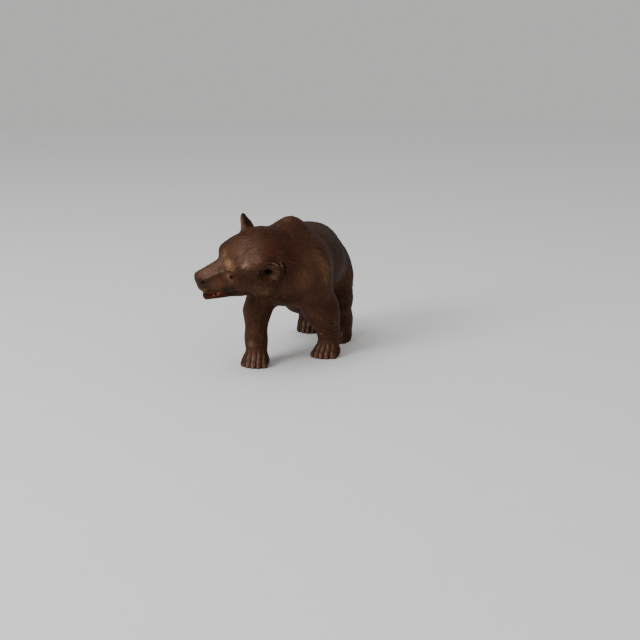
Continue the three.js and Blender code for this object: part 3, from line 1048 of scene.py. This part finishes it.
@dataclass(frozen=True)
class StainedWood:
    """Brown stained wood with combed hair lines, with painted highlight and sheen on its crests and upward
    faces and painted shade in its cuts and where shade falls, partly real wear and stain.
    """

    head: Place
    paws: dict[str, Place]
    dark: Triple = (0.021, 0.0088, 0.0052)
    brown: Triple = (0.08, 0.0355, 0.0205)
    # lighter colour for raised crests: partly wear, partly painted highlight
    crest: Triple = (0.2, 0.1, 0.055)
    # dark for the cuts and sunken places: painted shade, partly dark stain gathered in them
    recess: Triple = (0.006, 0.003, 0.002)
    # ochre: a lighter tone round the eyes, on the hump and on the flank; painted light on the far ear's front
    ochre: Triple = (0.32, 0.175, 0.085)
    # rose: painted sheen and highlights on the head's top and the wrists; a lighter tone on the toes and in
    # the left ear
    rose: Triple = (0.22, 0.122, 0.087)
    # pale: painted highlight on rims and ridges and on the temple
    pale: Triple = (0.5, 0.33, 0.25)
    # tan: painted highlights on the lips, the ruff's ridge and the far ear's lit front; elsewhere a lighter
    # tone
    tan: Triple = (0.2, 0.098, 0.052)
    rust: Triple = (0.078, 0.021, 0.012)
    # painted shade: near-black laid where shade falls, under the head, between the legs, beside the paws and
    # on the far ear's back
    painted_shade: Triple = (0.013, 0.0085, 0.005)
    # painted shade for the flank and rump that turn away from the light
    far_side_shade: Triple = (0.022, 0.0105, 0.0065)
    mouth_red: Triple = (0.085, 0.012, 0.0075)
    nose_grey: Triple = (0.038, 0.024, 0.021)
    eye_brown: Triple = (0.02, 0.005, 0.003)
    claw_horn: Triple = (0.26, 0.14, 0.08)
    tooth_cream: Triple = (0.42, 0.27, 0.17)
    sheen: float = 0.025
    cloud_scale: float = 90.0
    speck_scale: float = 900.0
    bump_depth: float = 0.16
    bump_strength: float = 0.85
    hair_spacing: float = 0.42
    hair_length: float = 3.2
    lock_size: float = 4.2
    waver: float = 1.2
    waver_scale: float = 400.0

    def tints(self) -> list[Tint]:
        """The lighter, darker and redder places, many of them painted shade, sheen and highlights: the later
        ones lie over the earlier ones.
        """
        trunk = (
            # painted shade on the far flank and the rump, which turn away from the light
            ((20.0, 12.0, 56.0), 14.0, self.far_side_shade, 0.7),
            ((27.0, 2.0, 44.0), 13.0, self.far_side_shade, 0.5),
            ((24.0, 22.0, 50.0), 16.0, self.far_side_shade, 0.85),
            ((20.0, 36.0, 44.0), 16.0, self.far_side_shade, 0.9),
            ((9.0, -38.0, 58.0), 9.0, self.rust, 0.4, 0.3),
            ((6.0, 50.0, 40.0), 14.0, self.far_side_shade, 0.6),
            ((17.0, -30.0, 44.0), 7.0, self.tan, 0.3, 0.5),
            # painted shade beside the right hind paw, on the chest under the head and between the legs
            ((-3.8, 42.0, 5.0), 13.0, self.painted_shade, 0.75),
            ((2.0, -38.0, 36.0), 9.0, self.painted_shade, 0.6),
            ((6.0, -30.0, 31.0), 9.0, self.painted_shade, 0.55),
            ((17.0, 24.0, 22.0), 12.0, self.painted_shade, 0.5),
            ((8.0, -20.6, 70.0), 8.0, self.rust, 0.35, 0.4),
            ((7.0, -22.0, 72.0), 3.5, self.ochre, 0.35, 0.5),
            ((15.0, -34.0, 60.0), 13.0, self.rust, 0.4, 0.5),
            ((6.8, -47.8, 58.6), 3.2, self.rust, 0.9, 0.2),
            ((8.0, -45.0, 62.5), 4.5, self.rust, 0.6, 0.5),
            # painted shade on the neck close behind the head
            ((11.0, -33.5, 64.5), 3.6, self.painted_shade, 0.6, 0.2),
            ((13.0, -37.0, 57.5), 4.5, self.painted_shade, 0.4, 0.2),
            ((24.0, -25.0, 54.0), 5.0, self.ochre, 0.3, 0.8),
            ((25.0, -23.0, 49.0), 5.5, self.ochre, 0.35, 0.7),
            ((25.5, -22.0, 43.0), 5.0, self.ochre, 0.28, 0.8),
        )
        head = (
            # painted shade under the cheek, the lips and the jaw, and on the throat
            ((9.2, 8.2, -5.2), 3.2, self.painted_shade, 0.75),
            ((12.3, 6.3, -6.8), 2.8, self.painted_shade, 0.8),
            ((5.8, 7.8, -9.8), 4.4, self.painted_shade, 0.9),
            ((1.0, 9.0, -12.5), 4.0, self.painted_shade, 0.7),
            ((10.5, 7.0, -8.0), 4.2, self.painted_shade, 0.95),
            ((8.5, 4.8, -13.0), 4.8, self.painted_shade, 0.95),
            ((13.5, 3.6, -15.0), 3.4, self.painted_shade, 0.9),
            ((18.5, 1.5, -17.0), 2.6, self.painted_shade, 0.8),
            # painted shade in the hollow of the left ear
            ((-6.5, 12.5, 1.5), 4.0, self.painted_shade, 0.3),
            # painted sheen and highlights on the forehead and temple, which face up into the light, partly
            # lighter rubbed hair
            ((2.2, 6.0, 13.5), 9.5, self.rose, 0.55, 0.5),
            ((3.0, 8.5, 10.0), 4.5, self.rose, 0.5, 0.4),
            ((4.2, 9.1, 8.6), 2.8, self.pale, 0.65, 0.95),
            ((-1.5, 9.4, 10.6), 2.8, self.rose, 0.6, 0.7),
            ((11.6, 1.1, 11.0), 3.4, self.ochre, 0.38, 0.9),
            ((10.6, 6.2, 8.4), 4.0, self.ochre, 0.85, 0.8),
            ((10.3, 6.7, 5.2), 3.4, self.ochre, 0.65, 0.85),
            ((11.8, 4.8, 3.0), 2.8, self.ochre, 0.4, 0.9),
            ((11.6, 5.4, 0.9), 2.4, self.ochre, 0.45, 0.8),
            ((10.7, 7.9, -0.9), 1.9, self.ochre, 0.35, 0.7),
            # painted sheen on the top of the muzzle, which faces up into the light
            ((20.8, 0.6, 1.6), 3.8, self.rose, 0.55, 0.5),
            ((17.0, 0.8, 3.4), 3.8, self.rose, 0.5, 0.5),
            ((13.0, 1.2, 6.4), 3.8, self.rose, 0.5, 0.5),
            ((16.0, 5.4, -3.5), 4.5, self.tan, 0.3, 0.4),
            # painted shade on the nose's front edge
            ((23.6, 2.4, -1.2), 1.8, self.painted_shade, 0.7),
            # painted highlights on the edges of the upper and lower lips
            ((21.6, 3.8, -7.2), 1.7, self.tan, 0.8, 0.4),
            ((14.6, 3.3, -12.9), 0.9, self.tan, 0.8, 0.3),
            ((-8.0, 13.4, 1.8), 2.6, self.rose, 0.22, 0.5),
            # painted highlight on the ruff's lower ridge, lit from above
            ((-4.5, 14.0, -7.0), 3.5, self.tan, 0.4, 0.6),
            # painted light on the far ear's front, which faces the light
            ((-1.0, -10.5, 14.6), 4.5, self.tan, 0.7, 0.5),
            ((-0.8, -11.0, 17.0), 2.6, self.ochre, 0.4, 0.8),
            # painted shade on the far ear's back, which turns away from the light
            ((-4.6, -11.0, 15.4), 3.6, self.painted_shade, 0.85),
            ((-3.9, -12.4, 18.6), 2.8, self.painted_shade, 0.8),
        )
        wrists = (
            # painted highlight: the shiny spot on the right wrist
            ((-9.0, -32.4, 10.8), 2.8, self.rose, 0.6, 0.5),
            ((-8.2, -33.0, 7.6), 2.8, self.rust, 0.8, 0.2),
            ((-4.5, -32.0, 9.0), 2.6, self.rust, 0.7, 0.2),
            ((18.5, -8.4, 10.4), 3.8, self.rust, 0.8, 0.2),
            # painted highlight: a light ring above the left fore paw
            ((19.0, -8.0, 12.0), 1.8, self.rose, 0.6, 0.4),
        )
        found = [Tint(*row) for row in trunk]
        found += [Tint(tuple(self.head.point(middle)), *row) for middle, *row in head]
        found += [Tint(*row) for row in wrists]
        for place in self.paws.values():
            found.append(Tint(tuple(place.point((0.0, -5.5, 3.6))), 6.0, self.rose, 0.35, 0.7))
            # painted shade low on both sides of each paw, next to the ground
            for side in Side:
                found.append(Tint(tuple(place.point((7.4 * side.value, -2.0, 2.0))), 3.4, self.painted_shade, 0.7))
        return found

    def material(self) -> bpy.types.Material:
        """Makes the finish.

        Returns:
            The material, which reads Object coordinates and the carver's marks.
        """
        graph = Graph("stained wood")
        where = graph.output(graph.node("ShaderNodeTexCoord"), "Object")
        raised = graph.mark(Mark.RAISED)
        hair = self.hair(graph, where)
        cloud = graph.noise(where, self.cloud_scale, 4.0, 0.6)
        speck = graph.noise(where, self.speck_scale, 3.0, 0.6)
        crest_wear_and_highlight = raised.ramp(0.0, 0.7) * (hair * 0.7 + 0.3)
        grit = (hair * 0.45 + speck * 0.35 + raised.ramp(-0.4, 0.6) * 0.2).ramp(0.36, 0.64)

        tone = cloud.ramp(0.3, 0.7) * 0.42 + hair * 0.28 + speck * 0.3
        colour = graph.blend(tone, (*self.dark, 1.0), self.brown)
        # painted highlight on the raised crests of the hair, partly real wear
        colour = graph.blend(crest_wear_and_highlight * (speck + hair).ramp(1.0, 1.6) * 0.3, colour, self.crest)
        for tint in self.tints():
            middle = tuple(c * MM for c in tint.middle)
            reach = tint.reach * MM
            away = graph.output(graph.vector("DISTANCE", where, middle), "Value")
            blur = (cloud - 0.5) * (1.2 * reach) + (hair + speck - 1.0) * (0.45 * reach)
            near = (away + blur).ramp(1.15 * reach, 0.2 * reach)
            strength = near * (grit * tint.broken + (1.0 - tint.broken)) * tint.strength
            colour = graph.blend(strength, colour, tint.colour)
        # painted highlight along the rims and ridges: the left ear's rim and tuft, the lower lip, the
        # muzzle's edge and the toes' crowns, the last partly wear
        colour = graph.blend(graph.mark(Mark.RIM_WEAR_AND_HIGHLIGHT) * (grit * 0.5 + 0.5), colour, self.pale)
        colour = self.painted(graph, raised, colour)

        gloss = 0.55 + (speck - 0.5) * 0.25 + (cloud - 0.5) * 0.2 - crest_wear_and_highlight * 0.15 - graph.mark(Mark.EYE) * 0.3
        height = hair * 0.5 + speck * 0.35 + cloud * 0.15
        relief = {"Strength": self.bump_strength, "Distance": self.bump_depth * MM, "Height": height}
        bump = graph.node("ShaderNodeBump", None, relief)
        looks = {
            "Base Color": colour,
            "Roughness": gloss,
            "Normal": graph.output(bump),
            "Specular IOR Level": self.sheen,
        }
        return graph.finished(looks)

    def painted(self, graph: Graph, raised: Socket, colour: Socket) -> Socket:
        """The colour with painted shade in the cuts and sunken places, partly dark stain gathered in them,
        and with the paint on the claws, the face and the mouth.
        """
        # painted shade in the cuts and on sunken places, partly dark stain gathered in the grooves
        hollow = graph.mark(Mark.CUT).ramp(0.15, 0.95) * 0.85
        hollow = hollow + (1.0 - hollow) * (raised * -1.0).ramp(0.1, 0.9) * 0.55
        colour = graph.blend(hollow, colour, self.recess)
        paints = (
            (Mark.CLAW, self.claw_horn, 0.4),
            (Mark.NOSE, self.nose_grey, 0.75),
            (Mark.MOUTH, self.mouth_red, 0.95),
            (Mark.TOOTH, self.tooth_cream, 0.85),
            (Mark.EYE, self.eye_brown, 1.0),
        )
        for kind, paint, cover in paints:
            colour = graph.blend(graph.mark(kind) * cover, colour, paint)
        return colour

    def hair(self, graph: Graph, where: Socket) -> Socket:
        """Fine hair lines in small locks, each along the way that the coat is combed there."""
        ripple = {"Vector": where, "Scale": self.waver_scale, "Detail": 2.0}
        noise = graph.node("ShaderNodeTexNoise", None, ripple)
        shift = graph.vector("SCALE", graph.output(noise, "Color"))
        shift.inputs["Scale"].default_value = self.waver * MM
        wavy = graph.output(graph.vector("ADD", where, graph.output(shift)))
        grid = {"Vector": wavy, "Scale": 1.0 / (self.lock_size * MM)}
        cells = graph.node("ShaderNodeTexVoronoi", None, grid)
        own = graph.output(graph.vector("SUBTRACT", wavy, graph.output(cells, "Position")))
        side = graph.output(graph.vector("DOT_PRODUCT", own, graph.mark(Mark.ACROSS)), "Value")
        way = graph.output(graph.vector("DOT_PRODUCT", own, graph.mark(Mark.ALONG)), "Value")
        lock = graph.vector("DOT_PRODUCT", graph.output(cells, "Color"), (60.0, 50.0, 40.0))
        parts = {
            "X": side * (1.0 / (self.hair_spacing * MM)),
            "Y": way * (1.0 / (self.hair_length * MM)),
            "Z": graph.output(lock, "Value"),
        }
        strand = graph.node("ShaderNodeCombineXYZ", None, parts)
        return graph.noise(graph.output(strand), 1.0, 2.0, 0.5).ramp(0.34, 0.66)


@dataclass(frozen=True)
class PalePaper:
    """The plain pale ground."""

    colour: Triple = (0.92, 0.92, 0.925)
    roughness: float = 0.85
    fibre_scale: float = 60.0
    fibre_shade: float = 0.97

    def material(self) -> bpy.types.Material:
        """Makes the finish, with a faint fibre in it."""
        graph = Graph("pale paper")
        where = graph.output(graph.node("ShaderNodeTexCoord"), "Object")
        fibre = graph.noise(where, self.fibre_scale, 2.0)
        edge = tuple(self.fibre_shade * c for c in self.colour)
        colour = graph.blend(fibre, (*edge, 1.0), self.colour)
        return graph.finished({"Base Color": colour, "Roughness": self.roughness})


@dataclass(frozen=True)
class Lamp:
    """A round soft lamp: where it hangs and how wide it is, in metres, and its power in watts."""

    name: str
    place: Triple
    size: float
    power: float

    def hang(self, target: Triple) -> None:
        """Hangs the lamp, looking at its target."""
        light = bpy.data.lights.new(self.name, "AREA")
        light.shape = "DISK"
        light.size = self.size
        light.energy = self.power
        lamp = bpy.data.objects.new(self.name, light)
        bpy.context.scene.collection.objects.link(lamp)
        lamp.location = self.place
        back = Vector(self.place) - Vector(target)
        lamp.rotation_euler = back.to_track_quat("Z", "Y").to_euler()


@dataclass
class Studio:
    """The ground, the soft light and the camera."""

    lamps: tuple[Lamp, ...] = (
        Lamp("overhead", (-0.2, -0.3, 0.9), 0.6, 2.4),
        Lamp("window", (-0.55, -0.95, 0.55), 0.6, 9.8),
    )
    lit: Triple = (0.0, 0.0, 0.04)
    room: Triple = (0.62, 0.61, 0.6)
    room_strength: float = 0.88
    floor_radius: float = 1.6
    picture: float = 640.0
    focal: float = 1200.0
    azimuth: float = 17.5
    elevation: float = 13.41
    roll: float = 0.35
    distance: float = 604.0
    aim: Triple = (6.183, 5.392, 0.0)
    aim_x: float = 304.85
    aim_y: float = 350.0
    sensor: float = 36.0

    def floor(self) -> bpy.types.Object:
        """Lays the ground under the bear."""
        shape = bmesh.new()
        bmesh.ops.create_circle(shape, cap_ends=True, segments=96, radius=self.floor_radius)
        mesh = bpy.data.meshes.new("ground")
        shape.to_mesh(mesh)
        shape.free()
        ground = bpy.data.objects.new("ground", mesh)
        bpy.context.scene.collection.objects.link(ground)
        ground.data.materials.append(PalePaper().material())
        return ground

    def light(self) -> None:
        """A soft lamp overhead, a stronger one from the picture's left, and the room's grey."""
        for lamp in self.lamps:
            lamp.hang(self.lit)
        world = bpy.data.worlds.new("room")
        world.use_nodes = True
        background = world.node_tree.nodes["Background"]
        background.inputs["Color"].default_value = (*self.room, 1.0)
        background.inputs["Strength"].default_value = self.room_strength
        bpy.context.scene.world = world

    def camera(self) -> None:
        """Sets the camera at the photograph's viewing angle."""
        a, e = math.radians(self.azimuth), math.radians(self.elevation)
        back = Vector((math.sin(a) * math.cos(e), -math.cos(a) * math.cos(e), math.sin(e)))
        right = Vector((math.cos(a), math.sin(a), 0.0))
        up = back.cross(right)
        turn = Matrix((right, up, back)).transposed() @ Matrix.Rotation(math.radians(-self.roll), 3, "Z")
        half = self.picture / 2.0
        aside = -self.distance * (self.aim_x - half) / self.focal
        above = self.distance * (self.aim_y - half) / self.focal
        eye = Vector(self.aim) + turn @ Vector((aside, above, self.distance))
        data = bpy.data.cameras.new("camera")
        data.sensor_width = self.sensor
        data.lens = self.focal * self.sensor / self.picture
        camera = bpy.data.objects.new("camera", data)
        bpy.context.scene.collection.objects.link(camera)
        camera.matrix_world = Matrix.Translation(eye * MM) @ turn.to_4x4()
        bpy.context.scene.camera = camera


def main() -> None:
    """Builds the bear, dresses it and sets it in its light."""
    logging.basicConfig(level=logging.INFO, format="%(name)s: %(message)s")
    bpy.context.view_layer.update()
    carving = Carving()
    bear = carving.build()
    bear.data.materials.clear()
    bear.data.materials.append(StainedWood(carving.head, carving.paws.places).material())
    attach(bear, BODY)
    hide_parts(SOLID)
    studio = Studio()
    studio.floor()
    studio.light()
    studio.camera()


if __name__ == "__main__":
    main()
